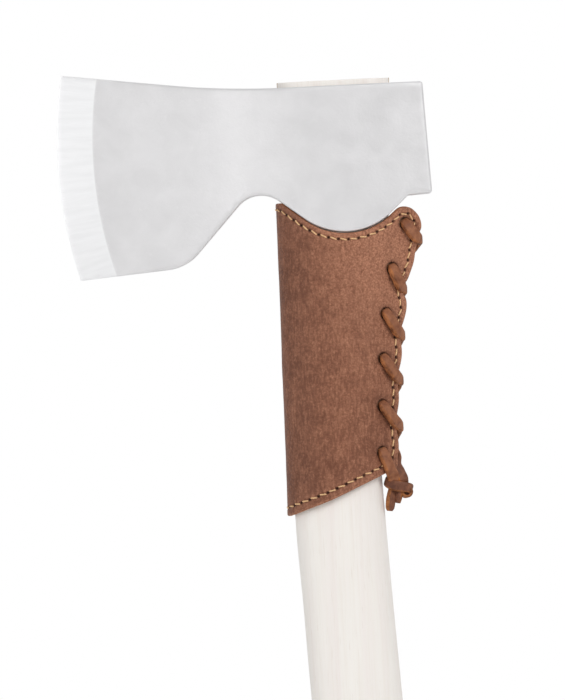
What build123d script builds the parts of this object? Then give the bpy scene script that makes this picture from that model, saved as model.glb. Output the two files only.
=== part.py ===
from build123d import *
import math
import os

# Hatchet with a laced leather guard below its head. Millimetres, +Z up along the eye's axis.
# The head is at the top, the cutting edge faces -X, the poll faces +X, and Y is the thickness.
# The origin is the centre of the grip, inside the haft. Side outlines are drawn in the SIDE plane:
# its x is the row's X, and its y is the height above the tenon's top, so it is negative going down.

# ---- driving dimensions --------------------------------------------------------------------
TENON_TOP = 390.0        # height of the tenon's top above the grip's centre
HEAD_TOP = -2.25         # head's flat top, below the tenon's top
LUG_BOTTOM = -63.4       # lowest point of the lugs beside the haft

# the head seen from above: its half thickness at stations along X, hollowing from the eye to the bevel
BEVEL_START_HALF = 2.3
EDGE_HALF = 0.12
CHEEK_FRONT = (-125.0, 1.6)
CHEEK_BACK = (45.0, 13.4)
CHEEK_STATIONS = [
    (22.0, 14.4), (2.0, 14.6), (-18.0, 13.9), (-32.0, 11.6), (-50.0, 7.3), (-74.0, 4.1),
    (-101.0, BEVEL_START_HALF),
]
EDGE_RADIUS = 182.0      # the cutting edge is an arc of this radius
EDGE_CENTRE = (65.0, -31.5)
BEVEL_WIDTH = 15.2
BEVEL_CLEAR = (8.0, 20.0)  # how far the bevel's cut runs out past the edge, and out to the side
HEAD_ROUND = 1.0         # small rounding along the forged outline

# the eye: a slot-shaped hole, larger at the top than at the bottom
EYE_TOP_SIZE = (47.2, 20.6)
EYE_BOTTOM_SIZE = (43.0, 18.8)
EYE_TOP_X = -0.1
EYE_BOTTOM_X = -1.2
FIT = 0.05               # gap each side between pieces that are driven together

# kerf, wooden wedge and steel ring in the tenon's top
KERF_DEPTH = 40.0
KERF_TOP = 4.2
KERF_BOTTOM = 0.9
WEDGE_ABOVE = 4.0        # blocks run this far past the tenon's top before they are trimmed
RING_OUTER = 7.6
RING_WALL = 1.9
RING_DEPTH = 11.0

# hang hole through the knob
HANG_RADIUS = 3.5
HANG_AT = (-12.0, -468.0)

# leather guard: its sections as (height, x where the flaps end, half thickness, reach of the side's curve)
GUARD_SECTIONS = [
    (-48.0, 38.5, 11.1, 36.0),
    (-90.0, 30.0, 10.95, 24.0),
    (-186.0, 22.6, 11.85, 21.0),
]
FOLD_DEPTH = 16.5        # from the haft's front to the fold's widest place
FLAP_MEET = 11.0         # length over which the two flaps lie face to face
LINING_THICK = 1.15
LEATHER_THICK = 1.75
HAFT_GAP = 0.3           # between haft and lining
SKIN_GAP = 0.06          # between lining and outer
FLAP_GAP = 0.3           # between the two flaps where they meet behind the haft
SEAM_INSET = 3.3
STITCH_PITCH = 4.3
STITCH_LENGTH = 3.1
STITCH_RADIUS = 0.38
STITCH_GAP = 0.25        # room for the leather's curve under a straight stitch
FOLD_GAP = 0.5           # and round the tighter curve of the fold
FOLD_STITCHES = 5        # stitches round the front fold
FOLD_ANGLE = math.radians(44)
FOLD_STITCHES_REACH = 6.0

# lace: punched holes down the flaps, and the thong through them
LACE_RADIUS = 1.25
HOLE_RADIUS = 2.5
LACE_HOLES = [(27.3, -60.8), (20.9, -79.4), (17.6, -98.2), (15.8, -117.0), (14.9, -136.7), (14.4, -156.4)]
LACE_BEND = 1.45
LACE_DROP = 8.8          # how far a strand falls between its hole and the back edge
LACE_OVER_DROP = 1.4     # how far it falls as it crosses the edge
LACE_LIFT = LACE_RADIUS + STITCH_GAP + 2 * STITCH_RADIUS + 0.4
LACE_EDGE_GAP = 1.6      # lace's middle beyond the flaps' back edge
LACE_EDGE_HALF = 5.5     # and to each side of it as it goes over
LACE_START = 2.0         # the top end is tucked between the flaps
LACE_END = [(16.9, -8.4, -164.6), (17.4, -3.9, -168.3)]

# knot at the guard's lower back corner
KNOT_FROM = (14.0, -169.9)
KNOT_TO = (24.6, -173.4)
KNOT_Y = -1.0
KNOT_HALF_WIDTH = 3.8
KNOT_HALF_HEIGHT = 2.3
KNOT_ROUND = 1.0
KNOT_TAILS = [(14.8, -3.0, -181.6), (18.3, -1.5, -179.0), (22.4, 1.5, -177.6)]

SIDE = Plane(origin=(0, 0, TENON_TOP), x_dir=(1, 0, 0), z_dir=(0, -1, 0))

# side outline of the head: each corner with the radius that rounds it
HEAD_HEEL = (-114.0, 7.5)
HEAD_TOE = (-109.8, -78.9)
HEAD_EDGE_MIDDLE = (-117.1, -32.0)
BEARD_CORNER = (-65.1, -75.6)
ARCH_TOP = (-34.2, -42.3)
LUG_POINT = (4.0, -72.3)
POLL_INNER = (29.1, -49.7)
POLL_LOW = (39.2, -49.2)
POLL_HIGH = (37.3, HEAD_TOP)
TOP_BEND = (-43.3, HEAD_TOP)
LOWER_ROUNDS = [20.0, 12.5, 28.0]   # at the beard, the arch and the lugs
TOP_ROUND = 350.0

# side outline of the guard: (x, y, corner radius), from the front's top corner round the back
GUARD_OUTLINE = [
    (-23.4, -51.9, 0.6),
    (4.0, -72.8, 29.2),
    (28.2, -52.3, 5.4),
    (35.2, -60.4, 8.6),
    (28.4, -82.0, 30.0),
    (23.9, -108.0, 90.0),
    (20.5, -138.0, 90.0),
    (19.5, -163.7, 2.4),
    (-9.0, -175.8, 60.0),
]
GUARD_FRONT = -40.0      # the outline runs out past the fold here
BOTTOM_SLOPE = 0.317     # the bottom edge climbs from the fold to the outline's last corner
BACK_CORNERS = slice(3, 7)

# haft sections below the tenon: (height, front x, back x, thickness)
HAFT_SECTIONS = [
    (-64.6, -23.3, 19.3, 21.0),
    (-90.0, -23.6, 16.5, 21.5),
    (-120.0, -23.9, 13.9, 22.0),
    (-152.0, -24.3, 12.3, 22.6),
    (-185.0, -24.7, 13.1, 23.2),
    (-219.0, -23.2, 14.5, 23.6),
    (-257.0, -21.7, 16.4, 24.0),
    (-300.0, -19.0, 18.4, 24.4),
    (-345.0, -17.2, 18.8, 24.8),
    (-390.0, -17.6, 17.6, 25.0),
    (-425.0, -20.8, 14.6, 25.4),
    (-455.0, -28.2, 12.2, 27.0),
    (-478.0, -36.0, 10.8, 29.0),
    (-491.0, -38.4, 9.6, 29.6),
]
GUARD_LEVELS = (0, 4)    # the haft's first and last sections under the guard
KNOB_END_CHAMFER = 3.0


def level(height):
    """The horizontal plane at a height below the tenon's top."""
    return Plane.XY.offset(TENON_TOP + height)


def between(low, high, share):
    return low + (high - low) * share


def haft_front(height):
    """The haft's front face under the guard, which is straight."""
    (top, top_front, _, _), (low, low_front, _, _) = (HAFT_SECTIONS[k] for k in GUARD_LEVELS)
    return between(top_front, low_front, (height - top) / (low - top))


def guard_back(height):
    """The x of the guard's back edge at a height."""
    corners = [(x, y) for x, y, _ in GUARD_OUTLINE[BACK_CORNERS]]
    for (x0, y0), (x1, y1) in zip(corners, corners[1:]):
        if y1 <= height <= y0:
            return between(x0, x1, (height - y0) / (y1 - y0))
    return corners[-1][0]


def eye_block(gap, top, bottom):
    """The tapered slot-shaped block that fills the eye from top to bottom, smaller by gap all round."""
    with BuildPart() as block:
        for height in (top, bottom):
            share = (height - HEAD_TOP) / (LUG_BOTTOM - HEAD_TOP)
            length = between(EYE_TOP_SIZE[0], EYE_BOTTOM_SIZE[0], share) - 2 * gap
            width = between(EYE_TOP_SIZE[1], EYE_BOTTOM_SIZE[1], share) - 2 * gap
            with BuildSketch(level(height)):
                with Locations((between(EYE_TOP_X, EYE_BOTTOM_X, share), 0)):
                    SlotOverall(length, width)
        loft(ruled=True)
    return block.part


def wedge_block(gap):
    """The wooden wedge's tapered plate, thinner by gap on each face, running the length of the eye."""
    with BuildPart() as block:
        for height, thick in ((WEDGE_ABOVE, KERF_TOP), (gap - KERF_DEPTH, KERF_BOTTOM)):
            with BuildSketch(level(height)):
                Rectangle(60, thick - 2 * gap)
        loft(ruled=True)
    return block.part


def ring_block(gap):
    """The steel ring, a short tube, thinner by gap all round."""
    with BuildPart() as block:
        with BuildSketch(level(gap - RING_DEPTH)):
            Circle(RING_OUTER - gap)
            Circle(RING_OUTER - RING_WALL + gap, mode=Mode.SUBTRACT)
        extrude(amount=RING_DEPTH + WEDGE_ABOVE)
    return block.part


def sleeve(lift, flap):
    """A teardrop column this far off the haft, ending in a flap of this half thickness."""
    with BuildPart() as column:
        for height, back, half, reach in GUARD_SECTIONS:
            middle = haft_front(height) + FOLD_DEPTH
            side = half + lift
            meet = back - FLAP_MEET
            with BuildSketch(level(height)):
                with BuildLine():
                    EllipticalCenterArc((middle, 0), FOLD_DEPTH + lift, side, start_angle=90, arc_size=180)
                    Bezier((middle, side), (middle + reach, side), (meet, flap), (back, flap))
                    Bezier((middle, -side), (middle + reach, -side), (meet, -flap), (back, -flap))
                    Line((back, flap), (back, -flap))
                make_face()
        loft(ruled=True)
    return column.part


def guard_face():
    """The guard's side outline as a face, in the SIDE plane's own x and y."""
    low_x, low_y, _ = GUARD_OUTLINE[-1]
    front_low = (GUARD_FRONT, low_y + BOTTOM_SLOPE * (GUARD_FRONT - low_x))
    front_high = (GUARD_FRONT, GUARD_OUTLINE[0][1])
    corners = [front_high, *[(x, y) for x, y, _ in GUARD_OUTLINE], front_low]
    with BuildSketch(Plane.XY) as face:
        with BuildLine():
            FilletPolyline(*corners, radius=[r for _, _, r in GUARD_OUTLINE])
            Line(front_low, front_high)
        make_face()
    return face.sketch


def surface_point(solid, x, y, side):
    """Where a line along Y at SIDE position (x, y) meets a solid on one side, and the normal there."""
    start = Vector(x, 60 * side, TENON_TOP + y)
    hits = solid.find_intersection_points(Axis(start, (0, -side, 0)))
    ahead = [(point, normal) for point, normal in hits if point.Y * side > 0]
    point, normal = max(ahead, key=lambda hit: hit[0].Y * side)
    if normal.Y * side < 0:
        normal = normal * -1
    return point, normal


def fold_x(y, angle):
    """The x of the guard's outer face on the fold, at an angle from straight ahead."""
    return haft_front(y) + FOLD_DEPTH - (FOLD_DEPTH + skin_lift) * math.cos(angle)


def fold_point(solid, angle, y):
    """Where a level line towards the haft's middle meets the guard's fold, and the normal there."""
    middle = haft_front(y) + FOLD_DEPTH
    way = Vector(math.cos(angle), -math.sin(angle), 0)
    start = Vector(middle, 0, TENON_TOP + y) - way * 80
    hits = solid.find_intersection_points(Axis(start, way))
    point, normal = min(hits, key=lambda hit: (hit[0] - start).length)
    if normal.dot(way) > 0:
        normal = normal * -1
    return point, normal


def stitch(first, last, gap):
    """One stitch, a short rod lying on the leather between two surface points with normals."""
    lift = STITCH_RADIUS + gap
    start = first[0] + first[1] * lift
    end = last[0] + last[1] * lift
    way = (end - start).normalized()
    with BuildPart() as rod:
        with BuildSketch(Plane(origin=(start + end) / 2 - way * STITCH_LENGTH / 2, z_dir=way)):
            Circle(STITCH_RADIUS)
        extrude(amount=STITCH_LENGTH)
    return rod.part


def stitches(points, gap):
    return [stitch(a, b, gap) for a, b in zip(points, points[1:])]


def stations(line):
    """Points along a seam's line at the stitch pitch, as (x, y)."""
    count = round(line.length / STITCH_PITCH)
    return [((line @ (k / count)).X, (line @ (k / count)).Y) for k in range(count + 1)]


def flap_seam(line, side):
    """The stitches of a seam line on one flap, as far forward as the fold."""
    flat = [(x, y) for x, y in stations(line) if x > haft_front(y) + FOLD_STITCHES_REACH]
    return stitches([surface_point(outer_outside, x, y, side) for x, y in flat], STITCH_GAP)


def fold_seam(line):
    """The stitches of a seam line round the fold at the guard's front."""
    points = []
    for k in range(-FOLD_STITCHES, FOLD_STITCHES + 1, 2):
        angle = FOLD_ANGLE * k / FOLD_STITCHES
        front = min(stations(line), key=lambda at: abs(at[0] - fold_x(at[1], angle)))
        points.append(fold_point(outer_outside, angle, front[1]))
    return stitches(points, FOLD_GAP)


def export(part, name):
    part.label = name
    export_step(part, f"parts/{name}.step")


os.makedirs("parts", exist_ok=True)

# ---- axe head --------------------------------------------------------------------------------
eye = eye_block(0, WEDGE_ABOVE, LUG_BOTTOM - WEDGE_ABOVE)

with BuildPart() as axe_head:
    with BuildSketch(SIDE):
        with BuildLine():
            FilletPolyline(
                HEAD_TOE, BEARD_CORNER, ARCH_TOP, LUG_POINT, POLL_INNER,
                radius=LOWER_ROUNDS,
            )
            Polyline(POLL_INNER, POLL_LOW, POLL_HIGH)
            FilletPolyline(POLL_HIGH, TOP_BEND, HEAD_HEEL, radius=TOP_ROUND)
            ThreePointArc(HEAD_HEEL, HEAD_EDGE_MIDDLE, HEAD_TOE)
        make_face()
    extrude(amount=20, both=True)
    # seen from above: parallel sides at the eye, then cheeks that hollow towards the bevel
    with BuildSketch(level(20)):
        with BuildLine():
            Spline(CHEEK_BACK, *CHEEK_STATIONS, CHEEK_FRONT)
            Polyline(CHEEK_BACK, (CHEEK_BACK[0], 0), (CHEEK_FRONT[0], 0), CHEEK_FRONT)
        make_face()
        mirror(about=Plane.XZ)
    extrude(amount=-120, mode=Mode.INTERSECT)
    outline_edges = axe_head.edges().filter_by_position(Axis.X, -100, 60)
    fillet(outline_edges.filter_by(Axis.Y, reverse=True), HEAD_ROUND)
    # ground bevels: a ring of wedge section is cut away on each side of the cutting edge
    edge_centre = (EDGE_CENTRE[0], 0, TENON_TOP + EDGE_CENTRE[1])
    with BuildSketch(Plane(origin=edge_centre, x_dir=(-1, 0, 0), z_dir=(0, 0, 1))):
        with BuildLine():
            Polyline(
                (EDGE_RADIUS - BEVEL_WIDTH, BEVEL_START_HALF),
                (EDGE_RADIUS, EDGE_HALF),
                (EDGE_RADIUS + BEVEL_CLEAR[0], EDGE_HALF),
                (EDGE_RADIUS + BEVEL_CLEAR[0], BEVEL_CLEAR[1]),
                (EDGE_RADIUS - BEVEL_WIDTH, BEVEL_CLEAR[1]),
                close=True,
            )
        make_face()
        mirror(about=Plane.XZ)
    revolve(axis=Axis(edge_centre, (0, 1, 0)), mode=Mode.SUBTRACT)
    add(eye, mode=Mode.SUBTRACT)

export(axe_head.part, "axe_head")

# ---- haft, its wooden wedge and its steel ring ---------------------------------------------
tenon = eye_block(FIT, 0, HAFT_SECTIONS[0][0])
kerf = wedge_block(0)
groove = ring_block(0)

with BuildPart() as haft:
    for height, front, back, thick in HAFT_SECTIONS:
        with BuildSketch(level(height)):
            with Locations(((front + back) / 2, 0)):
                Ellipse((back - front) / 2, thick / 2)
    loft()
    chamfer(haft.faces().sort_by(Axis.Z)[0].edges(), KNOB_END_CHAMFER)
    add(tenon)
    add(kerf, mode=Mode.SUBTRACT)
    add(groove, mode=Mode.SUBTRACT)
    with BuildSketch(SIDE):
        with Locations(HANG_AT):
            Circle(HANG_RADIUS)
    extrude(amount=40, both=True, mode=Mode.SUBTRACT)

export(haft.part, "haft")

plate = wedge_block(FIT)
cap = eye_block(FIT, 0, -KERF_DEPTH - 2)

with BuildPart() as eye_wedge:
    add(plate)
    add(cap, mode=Mode.INTERSECT)
    add(groove, mode=Mode.SUBTRACT)

export(eye_wedge.part, "eye_wedge")

tube = ring_block(FIT)

with BuildPart() as ring_wedge:
    add(tube)
    add(cap, mode=Mode.INTERSECT)

export(ring_wedge.part, "ring_wedge")

# ---- leather guard: the lining against the haft, the outer over it ---------------------------
outline = guard_face()
lining_lift = HAFT_GAP + LINING_THICK
outer_lift = lining_lift + SKIN_GAP
skin_lift = outer_lift + LEATHER_THICK
half_gap = FLAP_GAP / 2
lining_inside = sleeve(HAFT_GAP, half_gap)
lining_outside = sleeve(lining_lift, half_gap + LINING_THICK)
outer_inside = sleeve(outer_lift, half_gap + LINING_THICK + SKIN_GAP)
outer_outside = sleeve(skin_lift, half_gap + LINING_THICK + SKIN_GAP + LEATHER_THICK)

for name, outside, inside in (
    ("guard_lining", lining_outside, lining_inside),
    ("guard_outer", outer_outside, outer_inside),
):
    with BuildPart() as layer:
        add(outside)
        add(inside, mode=Mode.SUBTRACT)
        with BuildSketch(SIDE):
            add(outline)
        extrude(amount=40, both=True, mode=Mode.INTERSECT)
        with BuildSketch(SIDE):
            with Locations(LACE_HOLES):
                Circle(HOLE_RADIUS)
        extrude(amount=40, both=True, mode=Mode.SUBTRACT)
    export(layer.part, name)

# ---- thread: stitches along the top, the bottom and both back edges --------------------------
with BuildSketch(Plane.XY) as seam_face:
    add(outline)
    offset(amount=-SEAM_INSET, mode=Mode.REPLACE)

# the seam's edges run on from the bottom's straight front stretch, up the back and along the top
seam_edges = seam_face.sketch.wires()[0].edges()
bottom_line = Wire(seam_edges[:3])
back_line = Wire(seam_edges[3:10])
top_line = Wire(seam_edges[10:16])

for name, line in (("seam_top", top_line), ("seam_bottom", bottom_line)):
    rods = flap_seam(line, -1) + fold_seam(line) + flap_seam(line, 1)
    export(Compound(children=rods), name)

for name, side in (("seam_back_near", -1), ("seam_back_far", 1)):
    export(Compound(children=flap_seam(back_line, side)), name)

# ---- lace: one thong wound through both flaps and over their back edges ----------------------
route = [(LACE_HOLES[0][0], LACE_START, LACE_HOLES[0][1])]
for index, (x, y) in enumerate(LACE_HOLES):
    out = surface_point(outer_outside, x, y, 1)[0].Y + LACE_LIFT
    if index > 0:
        route.append((x, out, y))
    route.append((x, -out, y))
    if index < len(LACE_HOLES) - 1:
        near = y - LACE_DROP
        far = near - LACE_OVER_DROP
        route.append((guard_back(near) + LACE_EDGE_GAP, -LACE_EDGE_HALF, near))
        route.append((guard_back(far) + LACE_EDGE_GAP, LACE_EDGE_HALF, far))
route += LACE_END
lace_points = [(x, y, TENON_TOP + z) for x, y, z in route]

with BuildPart() as lace:
    with BuildLine() as centre:
        FilletPolyline(*lace_points, radius=LACE_BEND)
    with BuildSketch(Plane(origin=centre.line @ 0, z_dir=centre.line % 0)):
        Circle(LACE_RADIUS)
    sweep()

export(lace.part, "lace")

knot_start = Vector(KNOT_FROM[0], KNOT_Y, TENON_TOP + KNOT_FROM[1])
knot_end = Vector(KNOT_TO[0], KNOT_Y, TENON_TOP + KNOT_TO[1])
knot_way = knot_end - knot_start

with BuildPart() as lace_knot:
    with BuildSketch(Plane(origin=knot_start, x_dir=(0, 1, 0), z_dir=knot_way)):
        Ellipse(KNOT_HALF_WIDTH, KNOT_HALF_HEIGHT)
    extrude(amount=knot_way.length)
    chamfer(lace_knot.edges(), KNOT_ROUND)
    for x, y, z in KNOT_TAILS:
        tip = Vector(x, y, TENON_TOP + z)
        root = knot_start + knot_way * ((x - knot_start.X) / knot_way.X)
        with BuildSketch(Plane(origin=root, z_dir=tip - root)):
            Circle(LACE_RADIUS)
        extrude(amount=(tip - root).length)

export(lace_knot.part, "lace_knot")
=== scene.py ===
import math
import bmesh
import bpy
import numpy as np
from mathutils import Matrix, Vector, noise
from mathutils.geometry import delaunay_2d_cdt


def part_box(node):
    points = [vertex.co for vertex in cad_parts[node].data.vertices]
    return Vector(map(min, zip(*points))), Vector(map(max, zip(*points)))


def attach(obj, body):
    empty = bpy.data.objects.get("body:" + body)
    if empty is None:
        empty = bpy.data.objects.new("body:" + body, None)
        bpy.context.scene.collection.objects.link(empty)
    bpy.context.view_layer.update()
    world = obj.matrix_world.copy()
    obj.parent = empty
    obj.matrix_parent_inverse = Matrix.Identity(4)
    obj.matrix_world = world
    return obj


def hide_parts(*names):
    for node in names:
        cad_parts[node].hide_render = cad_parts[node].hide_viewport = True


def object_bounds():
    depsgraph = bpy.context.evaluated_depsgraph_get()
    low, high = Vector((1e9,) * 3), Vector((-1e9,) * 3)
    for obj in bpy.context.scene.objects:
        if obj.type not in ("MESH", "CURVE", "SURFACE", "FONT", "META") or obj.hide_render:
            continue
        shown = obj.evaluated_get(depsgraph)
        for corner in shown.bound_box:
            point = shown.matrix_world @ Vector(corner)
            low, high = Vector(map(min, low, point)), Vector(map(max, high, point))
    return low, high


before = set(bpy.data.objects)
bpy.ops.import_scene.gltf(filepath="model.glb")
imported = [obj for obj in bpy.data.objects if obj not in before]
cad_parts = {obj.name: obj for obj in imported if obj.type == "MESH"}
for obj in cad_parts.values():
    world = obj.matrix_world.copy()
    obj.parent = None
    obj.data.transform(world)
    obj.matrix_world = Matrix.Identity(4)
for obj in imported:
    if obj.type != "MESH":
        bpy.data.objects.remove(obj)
cad_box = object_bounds()

# Lengths are millimetres in the hatchet's side view: x is the row's X, h the height above the
# tenon's top, and y the row's Y, so the near side is at negative y. row() turns them into metres.
MM = 0.001
TENON_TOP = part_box("haft")[1].z / MM


def row(points):
    """Points (x, y, h) in millimetres, as (x, y, z) in metres in the row frame."""
    return (np.asarray(points, float) + (0, 0, TENON_TOP)) * MM


# ---- driving dimensions ------------------------------------------------------------------------
HEAD_TOP = -2.25
LUG_LOW = -63.4
BEVEL_WIDTH, BEVEL_HALF, EDGE_HALF = 14.9, 2.3, 0.1
HEAD_ROUND, EDGE_ROUND, POLL_ROUNDER = 1.0, 0.08, 0.3
HEAD_STEP = 1.55  # between the points of a cheek
HEAD_HEEL, HEAD_MIDDLE, HEAD_TOE = (-114.0, 7.5), (-117.1, -32.0), (-109.8, -78.9)
HEAD_CORNERS = [  # (x, h, corner radius) from the toe to the heel
    (*HEAD_TOE, 0), (-65.1, -75.6, 20), (-34.2, -42.3, 12.5), (4.0, -72.3, 28), (29.1, -49.7, 0.6),
    (39.2, -49.2, 1.2), (37.3, HEAD_TOP, 1.2), (-43.3, HEAD_TOP, 350), (*HEAD_HEEL, 0),
]
CHEEKS = np.array([  # distance behind the bevel, half thickness
    (-60, 2.3), (-1, 2.3), (0, 2.3), (27, 4.1), (51, 7.3), (69, 11.5), (83, 13.8), (103, 14.5),
    (124, 14.3), (150, 13.3),
])
EYE_TOP, EYE_LOW = (-0.1, 47.2, 20.6), (-1.2, 43.0, 18.8)  # middle x, length and width of the eye
EYE_MOUTH = 0.5  # small chamfer round the eye's upper mouth
FIT = 0.05  # between the eye and the tenon

HAFT_SECTIONS = np.array([  # h, front x, back x, thickness
    (-64.6, -23.3, 19.3, 21.0), (-90, -23.6, 16.5, 21.5), (-120, -23.9, 13.9, 22.0),
    (-152, -24.3, 12.3, 22.6), (-185, -24.7, 13.1, 23.2), (-219, -23.2, 14.5, 23.6),
    (-257, -21.7, 16.4, 24.0), (-300, -19.0, 18.4, 24.4), (-345, -17.2, 18.8, 24.8),
    (-390, -17.6, 17.6, 25.0), (-425, -20.8, 14.6, 25.4), (-455, -28.2, 12.2, 27.0),
    (-478, -36.0, 10.8, 29.0), (-491, -38.4, 9.6, 29.6),
])
KERF_TOP, KERF_LOW, KERF_DEPTH = 4.2, 0.9, 40.0
RING_OUTER, RING_WALL, RING_DEPTH = 7.6, 1.9, 11.0
BUTT_ROUND = 3.0  # how the haft's lower end turns over
HANG_X, HANG_H, HANG_RADIUS = -12.0, -468.0, 3.5
HANG_MOUTH, HANG_FLARE = 13.3, (18, 8.2)  # half the hole's straight length, then how it opens

GUARD_FRONT = -40.0  # the side outline runs out past the fold here
GUARD_CORNERS = [  # from its top front round the back to its bottom
    (-25.0, -50.5, 0.8), (4.0, -72.3, 29.2), (28.2, -52.3, 5.4), (35.2, -60.4, 8.6),
    (28.4, -82.0, 30), (23.9, -108.0, 90), (20.5, -138.0, 90), (19.4, -163.7, 2.4),
    (-9.0, -175.8, 60),
]
GUARD_SLOPE = 0.317  # of the bottom edge towards the front fold
BACK_CORNERS = slice(3, 7)  # the corners that lie along the laced back edge
GUARD_SECTIONS = np.array([  # h, x of the flaps' ends, half thickness, reach
    (-186.0, 22.6, 11.85, 21.0), (-90.0, 30.0, 10.95, 24.0), (-48.0, 38.5, 11.1, 36.0),
])
FOLD_DEPTH, FLAP_MEET = 16.5, 11.0
HAFT_GAP, LINING_THICK, SKIN_GAP, LEATHER_THICK, FLAP_GAP = 0.3, 1.15, 0.06, 1.75, 0.3
SCALLOP, SCALLOP_PITCH, SCALLOP_H = 0.5, 19.1, -116.6  # the back edge bulges between the strands
SEAM_INSET, SEAM_LOW_INSET, STITCH_PITCH = 2.65, 3.5, 4.25
STITCH_LEAN, STITCH_WANDER, STITCH_BOW = -0.5, 0.1, 0.26
THREAD_THIN, THREAD_GROWS = 0.13, 0.17  # half thickness in a puncture, and how much more outside
RIM_ROUND, HOLE_ROUND = 0.6, 0.5  # how the leather turns over at its edge and at the holes
SEAM_SINK, PIT_SINK, HOLE_SINK, LACE_SINK = 0.24, 0.85, 0.6, 0.42  # how deep each is pressed in

LACE_HOLES = [
    (27.5, -61.4), (21.2, -80.0), (17.7, -98.8), (15.8, -117.6), (14.4, -137.2), (13.4, -156.9),
]
HOLE_SIZE = (2.5, 2.4)  # half width and half height
LINING_HOLE, LINING_HOLE_SHIFT = (1.5, 1.9), (0.55, -0.5)  # smaller, so its rim shows inside
FAR_HOLE_SHIFT = (-0.6, 0.4)
EDGE_CROSSINGS = [(32.1, -68.0), (24.7, -88.6), (22.9, -107.9), (21.3, -126.7), (20.3, -146.0)]
STRAND_ENDS = [*EDGE_CROSSINGS, (17.1, -167.1)]  # the last near strand ends in the knot
EDGE_PULL = 0.2  # where the tight lace leaves the flaps' edge
FOLD_SHADE = 0.22  # painted shade on the front fold, darkest at the fold and fading over the sides
LACE_ROLLS = np.radians((22, 38, 40, 40, 38, 30))  # how far each near strand is rolled over
LACE_HALF_WIDTH, LACE_HALF_THICK = 2.45, 1.3
STRAP_AROUND = 20  # points round a strap, from one edge over its smooth face

KNOT_CENTRE, KNOT_WAY = np.array((19.1, -1.0, -171.2)), np.array((11.6, 0, -4.4))
KNOT_LONG, KNOT_DEEP = 5.15, 2.9
KNOT_PARTS = {  # x, y, h, the direction of the width (x, y, h), half width, half thickness
    "lace_knot_part": [
        (15.0, 5.6, -152.6, -0.5, 0.1, 1, 2.0, 1.0), (17.6, 4.8, -156.0, 0.1, 0.2, 1, 2.2, 1.1),
        (18.9, 2.2, -159.0, 0.6, 0.4, 0.6, 2.1, 1.2), (18.8, -1.0, -162.0, 0.9, 0.6, 0.2, 2.1, 1.25),
        (19.9, -2.6, -165.4, 0.95, 0.4, 0.25, 2.25, 1.25),
        (21.2, -2.6, -168.4, 0.95, 0.2, 0.25, 2.2, 1.1), (21.6, -0.2, -171.4, 1, 0, 0.1, 1.9, 0.9),
        (22.1, 1.7, -174.4, 1, 0, 0.1, 1.9, 0.9), (22.2, 1.8, -175.8, 1, 0, 0.1, 1.2, 0.7),
    ],
    "lace_tail_long": [
        (17.2, -1.0, -169.8, 1, 0.9, 0.1, 1.6, 0.95), (16.4, -2.2, -173.4, 1, 0.9, 0.1, 1.9, 1.1),
        (15.6, -3.0, -177.2, 1, 0.8, 0.1, 2.15, 1.15), (15.2, -3.0, -180.2, 1, 0.8, 0.1, 2.0, 1.1),
        (15.0, -3.0, -181.7, 1, 0.8, 0.1, 1.2, 0.8),
    ],
    "lace_tail_middle": [
        (19.8, 0.2, -170.0, 0.9, 0.5, 0, 1.4, 0.9), (19.3, -1.6, -173.4, 0.9, -0.5, 0, 1.75, 1.1),
        (18.7, -1.9, -176.2, 0.9, -0.6, 0, 1.75, 1.15), (18.3, -1.6, -178.4, 0.9, -0.6, 0, 1.3, 0.9),
    ],
    "lace_tail_curl": [
        (22.3 + 1.9 * math.cos(turn), -1.3, -174.0 + 1.9 * math.sin(turn), 0.35, -1, 0.1, 1.6, 0.72)
        for turn in np.radians((120, 75, 30, -15, -60, -105, -150, -190))
    ],
}


# ---- flat geometry -----------------------------------------------------------------------------
def unit(v):
    return v / np.maximum(np.linalg.norm(v, axis=-1, keepdims=True), 1e-12)


def ease(low, high, value):
    """0 below low, 1 above high, and a smooth step between."""
    t = np.clip((value - low) / (high - low), 0, 1)
    return t * t * (3 - 2 * t)


def rounded(corners, step):
    """An open line through corners (x, h, radius), each corner rounded by its radius."""
    points = []
    for k, (x, h, radius) in enumerate(corners):
        here = np.array((x, h))
        if radius == 0:
            points.append(here)
            continue
        back = unit(np.array(corners[k - 1][:2]) - here)
        on = unit(np.array(corners[k + 1][:2]) - here)
        turn = math.pi - math.acos(np.clip(back @ on, -1, 1))
        middle = here + unit(back + on) * radius / math.cos(turn / 2)
        first = here + back * radius * math.tan(turn / 2) - middle
        last = here + on * radius * math.tan(turn / 2) - middle
        steps = max(3, round(radius * turn / step))
        for share in np.linspace(0, 1, steps + 1):
            way = unit(first * math.sin(turn * (1 - share)) + last * math.sin(turn * share))
            points.append(middle + way * radius)
    return np.array(points)


def lengths(line):
    """How far along a line each of its points lies."""
    return np.concatenate(((0,), np.cumsum(np.linalg.norm(np.diff(line, axis=0), axis=1))))


def walked(line, at):
    """Points at some distances along a line."""
    along = lengths(line)
    return np.column_stack([np.interp(at, along, values) for values in line.T])


def evenly(points, step, closed=True):
    """Points at an even distance along a line."""
    line = np.vstack((points, points[:1])) if closed else points
    whole = lengths(line)[-1]
    count = max(2, round(whole / step))
    return walked(line, np.linspace(0, whole, count + 1)[: count if closed else count + 1])


def arc(turns, radius=1.0, centre=(0, 0)):
    """Points of a circle at some turns."""
    return centre + radius * np.column_stack((np.cos(turns), np.sin(turns)))


def circle_through(a, b, c):
    """The centre and radius of the circle through three points."""
    a, b, c = (np.array(p, float) for p in (a, b, c))
    rows = 2 * np.array((b - a, c - a))
    centre = np.linalg.solve(rows, (b @ b - a @ a, c @ c - a @ a))
    return centre, np.linalg.norm(a - centre)


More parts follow.
